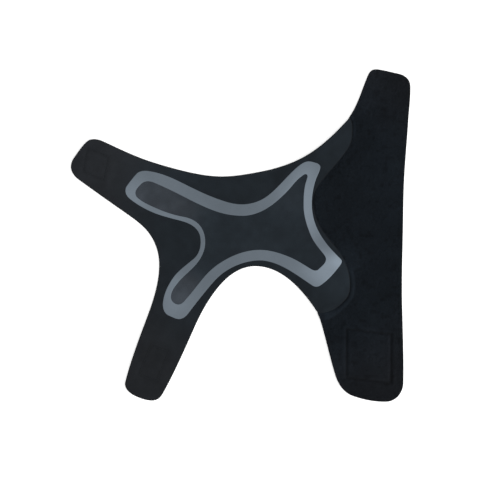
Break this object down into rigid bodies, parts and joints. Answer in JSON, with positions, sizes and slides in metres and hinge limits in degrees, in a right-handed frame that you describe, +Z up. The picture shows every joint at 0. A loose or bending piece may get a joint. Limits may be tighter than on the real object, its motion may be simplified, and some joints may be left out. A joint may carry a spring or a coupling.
{
  "type": "ankle brace",
  "caption": "Wrap ankle brace opened out flat: a crossed cloth panel with a grey contour stripe and hook straps, lapped over an upright band of loop fabric that closes round the ankle.",
  "frame": {"origin": "on the floor under the middle of the brace's bounding box, as it lies opened out", "axes": "+Z up from the printed face, +X from the straps towards the loop band, +Y along the band towards its plain tab"},
  "size_m": [0.2881, 0.2821, 0.0061],
  "materials": {
    "panel_cloth": "smooth matt knit on foam, printed dark grey",
    "loop_pile": "brushed loop pile, matt black",
    "grey_film": "thin printed film, matt grey",
    "hook_tape": "black nylon hook tape"
  },
  "bodies": {
    "root": {"support_panel": "panel_cloth", "loop_band": "loop_pile", "contour_stripe": "grey_film", "hook_patch_upper_strap": "hook_tape", "hook_patch_lower_strap": "hook_tape", "hook_patch_band": "hook_tape"}
  },
  "joints": []
}
